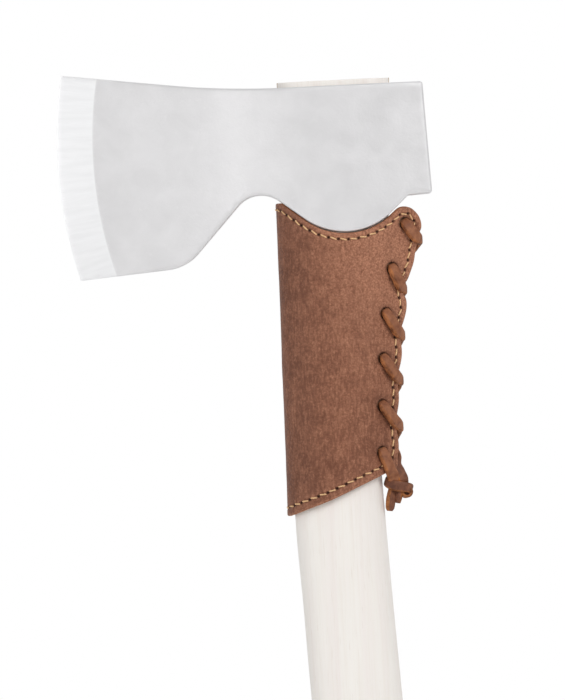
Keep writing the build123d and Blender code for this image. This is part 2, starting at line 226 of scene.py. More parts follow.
def inset(points, distance):
    """A closed anticlockwise line moved inwards, by one distance or by one for each point."""
    before = unit(points - np.roll(points, 1, 0))
    after = unit(np.roll(points, -1, 0) - points)
    normal = unit(np.column_stack((-before[:, 1] - after[:, 1], before[:, 0] + after[:, 0])))
    lean = np.clip(np.sqrt((1 + (before * after).sum(1)) / 2), 0.5, 1)
    return points + normal * (distance / lean)[:, None]


def in_parts(points, work, size=4000):
    """What work finds for each point, a few thousand points at a time."""
    return np.concatenate([work(points[k : k + size]) for k in range(0, len(points), size)])


def clearance(points, line):
    """The distance from each point to a closed line."""
    run = np.roll(line, -1, 0) - line
    length = np.maximum((run**2).sum(1), 1e-12)

    def work(some):
        away = some[:, None] - line
        t = np.clip((away * run).sum(2) / length, 0, 1)
        return np.sqrt(((away - t[..., None] * run) ** 2).sum(2)).min(1)

    return in_parts(points, work, 2000)


def nearest(points, centres):
    """The distance from each point to the nearest of some centres."""
    return in_parts(points, lambda some: np.linalg.norm(some[:, None] - centres, axis=2).min(1))


def within(points, line):
    """Whether each point lies inside a closed line."""
    a, b = line, np.roll(line, -1, 0)
    rise = np.where(a[:, 1] == b[:, 1], 1e-9, b[:, 1] - a[:, 1])

    def work(some):
        x, y = some[:, 0:1], some[:, 1:2]
        crosses = (a[:, 1] > y) != (b[:, 1] > y)
        at = a[:, 0] + (y - a[:, 1]) * (b[:, 0] - a[:, 0]) / rise
        return (crosses & (x < at)).sum(1) % 2 == 1

    return in_parts(points, work)


def honeycomb(outline, step):
    """Evenly spread points over the box of an outline."""
    low, high = outline.min(0), outline.max(0)
    rows = np.arange(low[1], high[1], step * math.sqrt(0.75))
    x, y = np.meshgrid(np.arange(low[0], high[0], step), rows)
    x = x + (np.arange(len(rows)) % 2)[:, None] * step / 2
    return np.column_stack((x.ravel(), y.ravel()))


def fill(rings, points):
    """Points and triangles inside the first ring and outside the others, and the rings' indices."""
    everything = np.vstack((*rings, points))
    edges, spans, at = [], [], 0
    for ring in rings:
        count = len(ring)
        spans.append(np.arange(at, at + count))
        edges += [(at + k, at + (k + 1) % count) for k in range(count)]
        at += count
    found = delaunay_2d_cdt([Vector(p) for p in everything], edges, [], 0, 1e-6)
    made, _, faces, came, _, _ = found
    made = np.array([tuple(p) for p in made])
    faces = np.array(faces)
    new = np.zeros(len(everything), int)
    for index, sources in enumerate(came):
        new[list(sources)] = index
    middles = made[faces].mean(1)
    keep = within(middles, rings[0])
    for hole in rings[1:]:
        keep &= ~within(middles, hole)
    return made, faces[keep], [new[span] for span in spans]


def ripple(points, size, seed=0.0):
    """Smooth noise, from -1 to 1, with bumps of about this size."""
    shift = Vector((seed, seed * 1.7, -seed))
    return np.array([noise.noise(Vector(p) / size + shift) for p in points])


# ---- mesh tools --------------------------------------------------------------------------------
def placed(name, data):
    """A new object in the scene."""
    obj = bpy.data.objects.new(name, data)
    bpy.context.scene.collection.objects.link(obj)
    return obj


def piece(name, points, faces, uv=None, slots=None):
    """A mesh object from points in millimetres, with its corners' UVs and its faces' slots."""
    mesh = bpy.data.meshes.new(name)
    mesh.from_pydata(row(points).tolist(), [], [[int(i) for i in face] for face in faces])
    if uv is not None:
        layer = mesh.uv_layers.new(name="UVMap")
        layer.data.foreach_set("uv", np.asarray(uv, np.float32).ravel())
    if slots is not None:
        mesh.polygons.foreach_set("material_index", np.asarray(slots, np.int32))
    return placed(name, mesh)


class Stack:
    """A mesh gathered part by part, whose points carry values that the materials use."""

    def __init__(self, *attributes):
        self.attributes, self.points, self.values, self.faces = attributes, [], [], []

    def add(self, points, *values):
        """Add points, with the value of each attribute for all or for each of them."""
        start = sum(len(part) for part in self.points)
        self.points.append(points)
        self.values.append([np.broadcast_to(value, len(points)) for value in values])
        return np.arange(start, start + len(points))

    def join(self, first, second):
        """Quads between two rings of indices of the same length, of which the second comes back."""
        ends = zip(first, np.roll(first, -1), second, np.roll(second, -1))
        self.faces += [(a, b, d, c) for a, b, c, d in ends]
        return second

    def piece(self, name, uv=None, slots=None):
        obj = piece(name, np.vstack(self.points), self.faces, uv, slots)
        for key, values in zip(self.attributes, zip(*self.values)):
            made = obj.data.attributes.new(key, "FLOAT", "POINT")
            made.data.foreach_set("value", np.concatenate(values).astype(np.float32))
        return obj


def finished(obj, materials, slot, *nodes, degrees=35):
    """The piece turned outwards, smooth but for sharp edges, with materials, in the CAD's place."""
    bm = bmesh.new()
    bm.from_mesh(obj.data)
    bmesh.ops.recalc_face_normals(bm, faces=bm.faces)
    for edge in bm.edges:
        sharp = len(edge.link_faces) == 2 and edge.calc_face_angle(0) > math.radians(degrees)
        border = len({face.material_index for face in edge.link_faces}) > 1
        edge.smooth = not (sharp or border)
    for face in bm.faces:
        face.smooth = True
    bm.to_mesh(obj.data)
    bm.free()
    for material in materials:
        obj.data.materials.append(material)
    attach(obj, "root")
    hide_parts(*nodes)
    return obj


def cut(obj, cutter):
    """Take the cutter's shape out of the object."""
    change = obj.modifiers.new("cut", "BOOLEAN")
    change.operation, change.solver, change.object = "DIFFERENCE", "EXACT", cutter
    bpy.context.view_layer.update()
    graph = bpy.context.evaluated_depsgraph_get()
    mesh = bpy.data.meshes.new_from_object(obj.evaluated_get(graph))
    obj.modifiers.clear()
    obj.data = mesh
    bpy.data.objects.remove(cutter)


def skin(rings, closed=False):
    """Quads over rings of points: points, faces, UVs and each face's place round, -1 for the ends."""
    count, around = rings.shape[:2]
    points = rings.reshape(-1, 3)
    along = lengths(rings.mean(1))
    along = np.append(along, along[-1] + 1)
    faces, uv, place = [], [], []
    for i in range(count if closed else count - 1):
        for j in range(around):
            k, on = (j + 1) % around, (i + 1) % count
            faces.append((i * around + j, i * around + k, on * around + k, on * around + j))
            uv += [(along[i], j / around), (along[i], (j + 1) / around)]
            uv += [(along[i + 1], (j + 1) / around), (along[i + 1], j / around)]
            place.append(j)
    if not closed:
        for first in (0, (count - 1) * around):
            faces.append(range(first, first + around))
            uv += [(along[0 if first == 0 else count - 1], j / around) for j in range(around)]
            place.append(-1)
    return points, faces, uv, np.array(place)


def slot_ring(middle, length, width, h, around):
    """A level ring of points round a slot shape."""
    flat = length - width
    turns = np.linspace(-math.pi / 2, math.pi / 2, 25)
    right = np.column_stack((flat / 2 + width / 2 * np.cos(turns), width / 2 * np.sin(turns)))
    whole = np.roll(np.vstack((right, -right)), -12, 0)
    line = evenly(whole, (2 * flat + math.pi * width) / around)
    return np.column_stack((line[:, 0] + middle, line[:, 1], np.full(len(line), h)))


def oval_ring(front, back, thick, power, h, around):
    """A level ring of points round an oval, fuller than an ellipse where power is above 2."""
    turn = np.linspace(0, 2 * math.pi, around, endpoint=False)
    reach = (abs(np.cos(turn)) ** power + abs(np.sin(turn)) ** power) ** (-1 / power)
    x = (front + back) / 2 + (back - front) / 2 * np.cos(turn) * reach
    return np.column_stack((x, thick / 2 * np.sin(turn) * reach, np.full(around, h)))


def catmull(points, steps):
    """A smooth line through points, with this many steps between each pair."""
    points = np.asarray(points, float)
    ends = np.vstack((2 * points[0] - points[1], points, 2 * points[-1] - points[-2]))
    t = np.linspace(0, 1, steps, endpoint=False)[:, None]
    out = []
    for a, b, c, d in zip(ends, ends[1:], ends[2:], ends[3:]):
        bend, twist = 2 * a - 5 * b + 4 * c - d, 3 * b - a - 3 * c + d
        out.append(0.5 * (2 * b + (c - a) * t + bend * t**2 + twist * t**3))
    return np.vstack((*out, points[-1:]))


# ---- materials ---------------------------------------------------------------------------------
def tone(*rgb):
    """A colour given as 0 to 255 screen values, in the linear form that shaders take."""
    linear = [c / 255 / 12.92 if c <= 10 else ((c / 255 + 0.055) / 1.055) ** 2.4 for c in rgb]
    return (*linear, 1.0)


class Nodes:
    """A node tree whose nodes are added one at a time."""

    def __init__(self, owner):
        owner.use_nodes = True
        self.tree = owner.node_tree
        self.tree.nodes.clear()

    def add(self, kind, inputs=(), **settings):
        made = self.tree.nodes.new("ShaderNode" + kind)
        for key, value in settings.items():
            setattr(made, key, value)
        for key, value in dict(inputs).items():
            self.set(made, key, value)
        return made

    def set(self, made, key, value):
        if isinstance(value, bpy.types.NodeSocket):
            self.tree.links.new(value, made.inputs[key])
        else:
            made.inputs[key].default_value = value


class Paint(Nodes):
    """A material whose colour is laid coat by coat."""

    def __init__(self, name, colour, settings):
        self.material = bpy.data.materials.new(name)
        super().__init__(self.material)
        self.shader = self.add("BsdfPrincipled", settings)
        self.add("OutputMaterial", {"Surface": self.shader.outputs[0]})
        self.place = self.add("TexCoord").outputs["Object"]
        self.unrolled = self.add("TexCoord").outputs["UV"]
        self.colour = colour

    def stretched(self, coords, scale, turn=(0, 0, 0)):
        """Coordinates stretched by one scale along each axis."""
        return self.add("Mapping", {"Vector": coords, "Scale": scale, "Rotation": turn}).outputs[0]

    def noise(self, coords, size, detail=3.0, rough=0.5, warp=0.0):
        """Cloudy noise with features of about this size, in the coordinates' own units."""
        inputs = {"Vector": coords, "Scale": 1 / size, "Detail": detail}
        return self.add("TexNoise", {**inputs, "Roughness": rough, "Distortion": warp}).outputs[0]

    def cells(self, coords, size, feature="F1"):
        inputs = {"Vector": coords, "Scale": 1 / size}
        return self.add("TexVoronoi", inputs, feature=feature).outputs["Distance"]

    def level(self, value, low, high, to_low=0.0, to_high=1.0):
        """A value spread from one range to another, and kept inside it."""
        inputs = {0: value, 1: low, 2: high, 3: to_low, 4: to_high}
        return self.add("MapRange", inputs).outputs[0]

    def maths(self, how, a, b=0.0):
        return self.add("Math", {0: a, 1: b}, operation=how).outputs[0]

    def times(self, a, b):
        return self.maths("MULTIPLY", a, b)

    def parts(self, coords):
        """The separate coordinates."""
        return self.add("SeparateXYZ", {0: coords}).outputs

    def attribute(self, name):
        return self.add("Attribute", attribute_name=name).outputs["Fac"]

    def lay(self, share, over):
        """A colour over the ones before it, by a share."""
        inputs = {0: share, 6: self.colour, 7: over}
        self.colour = self.add("Mix", inputs, data_type="RGBA").outputs[2]

    def coat(self, value, low, high, over, most=1.0):
        """A colour over the ones before it, from none where a value is low to the most at high."""
        self.lay(self.level(value, low, high, 0, most), over)

    def bump(self, height, depth):
        """A bump of this depth in metres, added to the ones before it."""
        inputs = {"Height": height, "Distance": depth, "Strength": 1.0}
        if self.shader.inputs["Normal"].is_linked:
            inputs["Normal"] = self.shader.inputs["Normal"].links[0].from_socket
        self.set(self.shader, "Normal", self.add("Bump", inputs).outputs[0])

    def done(self, *rough):
        """The material, in its colours and with its roughness spread over a value."""
        self.set(self.shader, "Base Color", self.colour)
        if rough:
            self.set(self.shader, "Roughness", self.level(*rough))
        return self.material


def forged_steel():
    """The head's forged and blasted sides: light grey, with soft pale clouds and a fine tooth, and a
    painted highlight along their rounded edges and the bevel's line.
    """
    paint = Paint("forged_steel", tone(230, 229, 230), {"Metallic": 0.6})
    clouds = paint.noise(paint.place, 0.012, 4, 0.6, 0.4)
    specks = paint.noise(paint.place, 0.0024, 3, 0.65)
    paint.coat(clouds, 0.35, 0.68, tone(236, 235, 236))
    paint.coat(specks, 0.6, 0.78, tone(238, 237, 238), 0.7)
    # Painted highlight where the rim value is set.
    paint.coat(paint.attribute("rim"), 0.35, 1.0, tone(246, 246, 247), 0.75)
    paint.bump(paint.noise(paint.place, 0.0011, 3, 0.6), 0.00006)
    paint.bump(clouds, 0.0002)
    return paint.done(clouds, 0.3, 0.7, 0.46, 0.56)


def ground_steel():
    """The bevels: bright, with fine lines left by grinding across the edge, and a painted highlight
    along the cutting edge and the bevel's line.
    """
    paint = Paint("ground_steel", tone(245, 245, 246), {"Metallic": 0.7})
    lines = paint.noise(paint.stretched(paint.unrolled, (0.16, 3.2, 1)), 1.0, 4, 0.7)
    wide = paint.noise(paint.stretched(paint.unrolled, (0.05, 0.45, 1)), 1.0, 2)
    paint.coat(lines, 0.3, 0.7, tone(251, 251, 252))
    paint.coat(wide, 0.4, 0.7, tone(240, 240, 241), 0.5)
    # Painted highlight along the cutting edge and the bevel's line.
    paint.coat(paint.attribute("rim"), 0.3, 1.0, tone(250, 250, 250), 0.9)
    paint.bump(lines, 0.00002)
    return paint.done(lines, 0.3, 0.7, 0.32, 0.42)


def machined_steel(name, dark, light, rough):
    """Turned or sheared steel, with fine rings and rubbed patches."""
    paint = Paint(name, dark, {"Metallic": 0.85})
    lines = paint.noise(paint.stretched(paint.place, (1, 1, 12)), 0.004, 5, 0.7)
    paint.coat(lines, 0.35, 0.7, light)
    paint.bump(lines, 0.00005)
    return paint.done(lines, 0.3, 0.7, rough, rough + 0.12)


def haft_wood():
    """Pale ash-like wood along the grain: cream with faint pink streaks, under a thin oil finish."""
    oiled = {"Metallic": 0.0, "Coat Weight": 0.12, "Coat Roughness": 0.35}
    paint = Paint("haft_wood", tone(251, 247, 241), oiled)
    broad = paint.noise(paint.stretched(paint.place, (1, 1, 0.035)), 0.0065, 3, 0.55, 0.6)
    fine = paint.noise(paint.stretched(paint.place, (1, 1, 0.02)), 0.0011, 4, 0.65)
    pores = paint.noise(paint.stretched(paint.place, (1, 1, 0.05)), 0.00045, 2, 0.6)
    paint.coat(broad, 0.34, 0.68, tone(248, 241, 236))
    paint.coat(fine, 0.45, 0.75, tone(240, 232, 222), 0.45)
    paint.coat(pores, 0.62, 0.8, tone(214, 200, 184), 0.35)
    paint.bump(fine, 0.00006)
    paint.bump(pores, 0.00005)
    return paint.done(fine, 0.3, 0.7, 0.42, 0.56)


def end_wood(name, pale, ring, warmth):
    """Wood cut across the grain: growth rings with open pores."""
    paint = Paint(name, pale, {"Metallic": 0.0, "Roughness": 0.62})
    bent = paint.noise(paint.place, 0.03, 2)
    x, y, _ = paint.parts(paint.place)
    count = paint.maths("ADD", paint.times(y, 420.0), paint.times(x, 60.0))
    rings = paint.maths("FRACT", paint.maths("ADD", count, paint.times(bent, 9.0)))
    pores = paint.noise(paint.place, 0.0006, 2, 0.6)
    paint.coat(rings, 0.35, 0.95, ring)
    paint.coat(pores, 0.58, 0.75, warmth, 0.55)
    paint.bump(pores, 0.00012)
    paint.bump(rings, 0.00005)
    return paint.done()


def leather(name, dark, middle, light, cut_edge):
    """Oiled pull-up leather: mottled, finely grained, paler where it is bent, scuffed or pulled, with
    painted light towards its upper back and painted shade in its pits, seam, holes and fold and beside
    the lace.
    """
    waxed = {"Metallic": 0.0, "Specular IOR Level": 0.32, "Sheen Weight": 0.06, "Sheen Roughness": 0.5}
    paint = Paint(name, dark, waxed)
    place = paint.place
    broad = paint.noise(place, 0.022, 3, 0.55, 0.5)
    patch = paint.noise(place, 0.0055, 4, 0.6)
    mottle = paint.noise(place, 0.0011, 4, 0.72)
    fibre = paint.noise(paint.stretched(place, (1, 1, 0.24)), 0.0009, 3, 0.6)
    creases = paint.noise(paint.stretched(place, (0.3, 0.3, 1), (0, 0.15, 0)), 0.0016, 3, 0.6, 0.6)
    grain = paint.cells(place, 0.00075)
    paint.coat(broad, 0.34, 0.66, middle)
    paint.coat(patch, 0.42, 0.74, light, 0.55)
    # Paler along the edges and beside the seam, and painted light towards the upper back.
    paint.coat(paint.attribute("light"), 0.0, 1.0, light, 0.95)
    paint.coat(mottle, 0.5, 0.7, light, 0.6)
    paint.coat(mottle, 0.5, 0.34, dark, 0.65)
    paint.coat(fibre, 0.48, 0.7, light, 0.55)
    paint.coat(fibre, 0.45, 0.3, dark, 0.5)
    paint.coat(creases, 0.42, 0.3, dark, 0.4)
    paint.coat(grain, 0.3, 0.7, dark, 0.45)
    scratch = paint.stretched(place, (1, 1, 0.28), (0.3, 0.5, 0.2))
    thin = paint.level(paint.cells(scratch, 0.017, "DISTANCE_TO_EDGE"), 0.0, 0.018, 1, 0)
    here = paint.level(paint.noise(place, 0.013, 1), 0.55, 0.66)
    paint.lay(paint.times(paint.times(thin, here), 0.35), light)
    # Painted shade: stitch pits, seam channel, holes, front fold and beside the lace strands.
    paint.coat(paint.attribute("dark"), 0.0, 1.0, tone(52, 26, 16), 0.92)
    paint.lay(paint.attribute("raw"), cut_edge)
    paint.bump(broad, 0.0005)
    paint.bump(patch, 0.0002)
    paint.bump(grain, 0.00016)
    paint.bump(fibre, 0.00022)
    paint.bump(creases, 0.0002)
    return paint.done(patch, 0.3, 0.75, 0.5, 0.66)


def lace_leather(name, dark, light, rough_face):
    """The lace: a smooth oiled face, or the rough and paler face where it was cut."""
    paint = Paint(name, dark, {"Metallic": 0.0, "Specular IOR Level": 0.3})
    patch = paint.noise(paint.place, 0.0032, 4, 0.6)
    scale, show, depth = ((0.28, 9, 1), 0.6, 0.0004) if rough_face else ((0.5, 5, 1), 0.3, 0.00012)
    fibre = paint.noise(paint.stretched(paint.unrolled, scale), 1.0, 4, 0.65)
    paint.coat(patch, 0.35, 0.68, light)
    paint.coat(fibre, 0.45, 0.75, light, show)
    paint.bump(fibre, depth)
    paint.bump(paint.cells(paint.place, 0.0007), 0.00008)
    return paint.done(patch, 0.3, 0.7, 0.48, 0.68)


def sewing_thread():
    """Waxed tan thread, twisted from a few strands."""
    paint = Paint("thread", tone(240, 180, 122), {"Metallic": 0.0, "Roughness": 0.5})
    along, around, _ = paint.parts(paint.unrolled)
    turns = paint.maths("ADD", paint.times(along, 1.35), paint.times(around, 2.0))
    twist = paint.maths("SINE", paint.times(turns, math.tau))
    paint.coat(twist, -1.0, 0.4, tone(254, 212, 160))
    paint.coat(paint.noise(paint.place, 0.0004, 2), 0.5, 0.8, tone(255, 234, 200), 0.3)
    paint.bump(twist, 0.0001)
    return paint.done()


# ---- axe head ----------------------------------------------------------------------------------
EDGE_CENTRE, EDGE_RADIUS = circle_through(HEAD_HEEL, HEAD_MIDDLE, HEAD_TOE)


def eased_through(at, stations, values):
    """A smooth curve through values at stations."""
    slopes = np.gradient(values, stations)
    k = np.clip(np.searchsorted(stations, at) - 1, 0, len(stations) - 2)
    wide = stations[k + 1] - stations[k]
    t = (at - stations[k]) / wide
    ends = (1 + 2 * t) * (1 - t) ** 2 * values[k] + t * t * (3 - 2 * t) * values[k + 1]
    return ends + wide * (t * (1 - t) ** 2 * slopes[k] - t * t * (1 - t) * slopes[k + 1])


def behind_bevel(points):
    """How far points of the side view lie behind the line where the bevel starts."""
    return EDGE_RADIUS - BEVEL_WIDTH - np.linalg.norm(points - EDGE_CENTRE, axis=1)


def head_half(points):
    """The head's half thickness at points of the side view."""
    behind = behind_bevel(points)
    straight = points[:, 0] - (EDGE_CENTRE[0] - EDGE_RADIUS + BEVEL_WIDTH)
    share = ease(-95, -45, points[:, 0])
    cheek = eased_through(behind * (1 - share) + straight * share, *CHEEKS.T)
    bevel = BEVEL_HALF + (EDGE_HALF - BEVEL_HALF) * -behind / BEVEL_WIDTH
    return np.where(behind < 0, bevel, cheek)


def head_outline():
    """The head's side outline, closed and anticlockwise from the toe."""
    ends = (np.array(p) - EDGE_CENTRE for p in (HEAD_HEEL, HEAD_TOE))
    start, end = (math.atan2(h, x) % math.tau for x, h in ends)
    edge = arc(np.linspace(start, end, 90)[1:-1], EDGE_RADIUS, EDGE_CENTRE)
    line = np.vstack((rounded(HEAD_CORNERS, 0.6), edge))
    out = []
    for a, b in zip(line, np.roll(line, -1, 0)):
        cuts = max(1, round(np.linalg.norm(b - a) / 1.0))
        out += [a + (b - a) * j / cuts for j in range(cuts)]
    return np.array(out)


def head_pattern(outline, inner):
    """Points and triangles of a cheek in the side view, with the bevel's line, and its rim."""
    spread = honeycomb(outline, HEAD_STEP)
    spread = spread[within(spread, inner)]
    spread = spread[(clearance(spread, inner) > 0.8) & (abs(behind_bevel(spread)) > 0.9)]
    turns = np.linspace(math.pi - 0.3, math.pi + 0.3, 115)
    crease = arc(turns, EDGE_RADIUS - BEVEL_WIDTH, EDGE_CENTRE)
    crease = crease[within(crease, inner)]
    crease = crease[clearance(crease, inner) > 0.3]
    return fill([inner], np.vstack((spread, crease)))


def make_head():
    outline = head_outline()
    turning = EDGE_ROUND + (HEAD_ROUND - EDGE_ROUND) * ease(-0.5, 9, behind_bevel(outline))
    turning *= 1 + POLL_ROUNDER * ease(28, 36, outline[:, 0])
    flat, faces, (rim,) = head_pattern(outline, inset(outline, turning))
    behind = behind_bevel(flat)
    level = np.column_stack((flat, np.zeros(len(flat))))
    hammered = ease(0, 6, behind) * (0.05 * ripple(level, 9.0) + 0.1 * ripple(level, 31.0, 4))
    depth = head_half(flat) + hammered
    # The rim value is a painted highlight: along the bevel's line, round the rounded edges, and
    # faintly on the edge wall.
    head, edges = Stack("rim"), {}
    for side in (-1, 1):
        points = np.column_stack((flat[:, 0], side * depth, flat[:, 1]))
        # Painted highlight along the bevel's line.
        cheek = head.add(points, np.where(abs(behind) < 0.3, 0.8, 0.0))
        head.faces += [tuple(cheek[face[::-side]]) for face in faces]
        ring = cheek[rim]
        for turn, painted_highlight in ((30, 0.75), (60, 0.75), (90, 0.45)):
            turn = math.radians(turn)
            at = inset(outline, turning * (1 - math.sin(turn)))
            y = depth[rim] - turning * (1 - math.cos(turn))
            points = np.column_stack((at[:, 0], side * y, at[:, 1]))
            ring = head.join(ring, head.add(points, painted_highlight))
        edges[side] = ring
    points = np.vstack(head.points)
    near, far = points[edges[-1]], points[edges[1]]
    ring, rows = edges[-1], 10
    # Faint painted highlight on the edge wall between the cheeks.
    for k in range(1, rows):
        ring = head.join(ring, head.add(near + (far - near) * k / rows, 0.15))
    head.join(ring, edges[1])
    side_view = np.vstack(head.points)[:, (0, 2)]
    away = side_view - EDGE_CENTRE
    round_edge = np.arctan2(away[:, 1], -away[:, 0]) * EDGE_RADIUS
    unrolled = np.column_stack((np.linalg.norm(away, axis=1), round_edge))
    middles = np.array([side_view[list(face)].mean(0) for face in head.faces])
    uv = np.vstack([unrolled[list(face)] for face in head.faces])
    obj = head.piece("axe_head_forged", uv, behind_bevel(middles) < 0)
    mouth = HEAD_TOP - EYE_MOUTH
    levels = [(4.0, EYE_MOUTH), (HEAD_TOP, EYE_MOUTH), (mouth, 0), (LUG_LOW - 12, 0)]
    rings = np.array([eye_ring(h, grow, 96) for h, grow in levels])
    cut(obj, piece("eye_cutter", *skin(rings)[:2]))
    return finished(obj, [forged_steel(), ground_steel()], "forged_steel", "axe_head", degrees=32)


def eye_ring(h, grow, around):
    """A level ring round the eye at a height, larger by grow."""
    share = (h - HEAD_TOP) / (LUG_LOW - HEAD_TOP)
    middle, length, width = (a + (b - a) * share for a, b in zip(EYE_TOP, EYE_LOW))
    return slot_ring(middle, length + 2 * grow, width + 2 * grow, h, around)


# ---- haft --------------------------------------------------------------------------------------
def haft_section(h):
    """The haft's front x, back x and thickness at a height."""
    sections = HAFT_SECTIONS[::-1]
    return [eased_through(np.array([h]), sections[:, 0], sections[:, k])[0] for k in (1, 2, 3)]


def make_haft():
    around, past = 112, 4  # the cutters reach past the tenon's top
    rings = [eye_ring(h, -FIT - tuck, around) for h, tuck in ((0, 0.4), (-0.12, 0.12), (-0.4, 0))]
    rings += [eye_ring(h, -FIT, around) for h in np.arange(-2, -63.5, -3.0)]
    shoulder, low = HAFT_SECTIONS[0, 0], HAFT_SECTIONS[-1, 0] + BUTT_ROUND
    sections = [(h, 0) for h in np.arange(shoulder, low, -2.2)]
    for turn in np.linspace(0.1, 1.57, 7):
        sections.append((low - BUTT_ROUND * math.sin(turn), BUTT_ROUND - BUTT_ROUND * math.cos(turn)))
    for h, tuck in sections:
        front, back, thick = haft_section(h)
        power = 2 + 0.28 * ease(-190, -240, h)
        rings.append(oval_ring(front + tuck, back - tuck, thick - 2 * tuck, power, h, around))
    points, faces, uv, place = skin(np.array(rings))
    haft = piece("haft_turned", points, faces, uv, place < 0)
    kerf = [[(x, y * half, h) for x, y in ((-40, -1), (40, -1), (40, 1), (-40, 1))]
            for h, half in ((past, KERF_TOP / 2 + 0.18), (-KERF_DEPTH, KERF_LOW / 2))]
    cut(haft, cutter("kerf_cutter", np.array(kerf)))
    circle = arc(np.linspace(0, math.tau, 72, endpoint=False))
    inner = RING_OUTER - RING_WALL
    walls = [(RING_OUTER, past), (RING_OUTER, -RING_DEPTH), (inner, -RING_DEPTH), (inner, past)]
    groove = [[(x * radius, y * radius, h) for x, y in circle] for radius, h in walls]
    cut(haft, cutter("groove_cutter", np.array(groove), closed=True))
    flare, wide = HANG_FLARE
    mouths = [(-flare, wide), (-HANG_MOUTH, HANG_RADIUS), (HANG_MOUTH, HANG_RADIUS), (flare, wide)]
    hole = [[(HANG_X + a * radius, y, HANG_H + b * radius) for a, b in circle] for y, radius in mouths]
    cut(haft, cutter("hole_cutter", np.array(hole)))
    end = end_wood("haft_end", tone(240, 234, 222), tone(222, 208, 186), tone(190, 168, 140))
    return finished(haft, [haft_wood(), end], "haft_wood", "haft", degrees=38)


def cutter(name, rings, closed=False):
    """A solid for cutting with, whose faces leave the second material."""
    points, faces, uv, _ = skin(rings, closed)
    solid = piece(name, points, faces, uv, np.ones(len(faces)))
    bm = bmesh.new()
    bm.from_mesh(solid.data)
    bmesh.ops.recalc_face_normals(bm, faces=bm.faces)
    bm.to_mesh(solid.data)
    bm.free()
    return solid


# ---- leather guard -----------------------------------------------------------------------------
def haft_front(h):
    """The haft's front face under the guard, which is straight."""
    return np.interp(h, (-185.0, -64.6), (-24.7, -23.3))


class Sleeve:
    """The face of a guard layer, unrolled: p is the distance along the leather from the front fold,
    positive on the near side, and h is the height."""

    STEP = 0.25

    def __init__(self, lift, flap):
        self.levels = np.arange(-190.0, -46.0)
        self.table = np.array([self.section(h, lift, flap) for h in self.levels])

    def section(self, h, lift, flap):
        """The face's line (x, y) at a height, in even steps from the front fold."""
        levels = GUARD_SECTIONS[:, 0]
        back, half, reach = (np.interp(h, levels, GUARD_SECTIONS[:, k]) for k in (1, 2, 3))
        middle, side = haft_front(h) + FOLD_DEPTH, half + lift
        turn = np.linspace(0, math.pi / 2, 90)
        fold = np.column_stack((middle - (FOLD_DEPTH + lift) * np.cos(turn), side * np.sin(turn)))
        a, b = np.array((middle, side)), np.array((middle + reach, side))
        c, d = np.array((back - FLAP_MEET, flap)), np.array((back, flap))
        t = np.linspace(0, 1, 120)[1:, None]
        flank = (1 - t) ** 3 * a + 3 * (1 - t) ** 2 * t * b + 3 * (1 - t) * t * t * c + t**3 * d
        return walked(np.vstack((fold, flank, d + (12, 0))), np.arange(0, 95, self.STEP))

    def place(self, spots):
        """Pattern points (p, h) as points (x, y, h)."""
        p, h = spots[:, 0], spots[:, 1]
        row_at = np.clip(h - self.levels[0], 0, len(self.levels) - 1.001)
        i, j = row_at.astype(int), (abs(p) / self.STEP).astype(int)
        up, on = (row_at - i)[:, None], (abs(p) / self.STEP - j)[:, None]
        low = self.table[i, j] * (1 - on) + self.table[i, j + 1] * on
        high = self.table[i + 1, j] * (1 - on) + self.table[i + 1, j + 1] * on
        found = low * (1 - up) + high * up
        return np.column_stack((found[:, 0], np.where(p > 0, -1, 1) * found[:, 1], h))

    def normal(self, spots):
        across = self.place(spots + (0.1, 0)) - self.place(spots - (0.1, 0))
        up = self.place(spots + (0, 0.1)) - self.place(spots - (0, 0.1))
        return unit(np.cross(across, up))

    def pattern(self, side_view):
        """Points (x, h) of the side view as pattern points on the near side."""
        found = []
        for x, h in side_view:
            row_at = min(max(h - self.levels[0], 0), len(self.levels) - 1.001)
            i = int(row_at)
            line = self.table[i, :, 0] * (1 - row_at + i) + self.table[i + 1, :, 0] * (row_at - i)
            found.append((np.interp(x, line, np.arange(len(line)) * self.STEP), h))
        return np.array(found)


def hump(away, width, power=2):
    """1 where a distance is nothing, falling off smoothly over a width."""
    return np.exp(-((away / width) ** power))


def rounding(away, radius):
    """How far a rounded rim lies below the face at a distance in from it."""
    short = np.clip(radius - away, 0, radius)
    return radius - np.sqrt(radius * radius - short**2)


